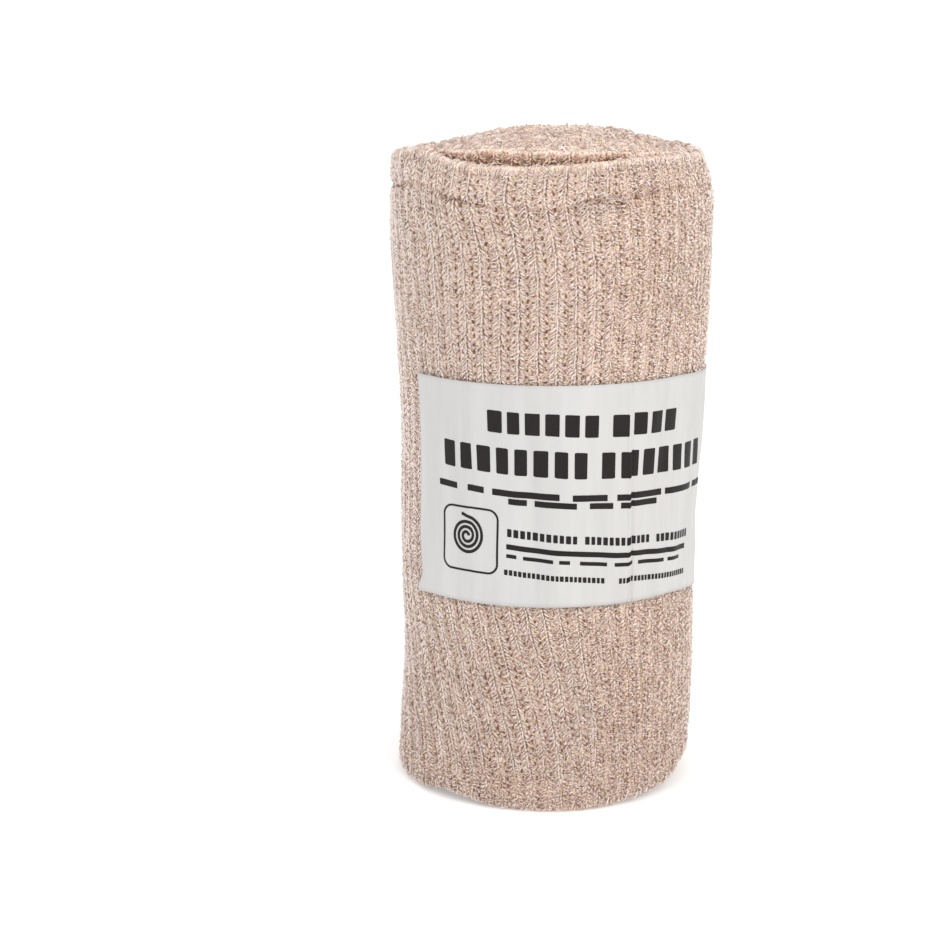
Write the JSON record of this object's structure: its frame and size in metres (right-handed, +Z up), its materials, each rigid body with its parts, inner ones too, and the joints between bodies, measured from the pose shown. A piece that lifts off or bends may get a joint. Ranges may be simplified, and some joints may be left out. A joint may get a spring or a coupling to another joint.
{
  "type": "emergency trauma bandage",
  "caption": "Rolled elastic rib-knit bandage standing on end, hemmed along both edges, with a dressing pad under its last turn and a printed paper label stuck round the outside.",
  "frame": {"origin": "on the floor, at the centre of the roll's core, where the bandage stands on its lower edge", "axes": "+Z up along the roll's axis, across the width of the strip; -Y is the front, which the middle of the label is nearly on; +X is the right-hand side in the picture"},
  "size_m": [0.0766, 0.0743, 0.1567],
  "materials": {
    "elastic_knit": "matt beige rib knit of cotton and elastic yarn, light ribs with reddish-brown holes between them",
    "pad_gauze": "matt off-white absorbent pad",
    "label_paper": "smooth white label paper with near-black print"
  },
  "bodies": {
    "root": {"elastic_wrap": "elastic_knit", "dressing_pad": "pad_gauze", "label": "label_paper"}
  },
  "joints": []
}
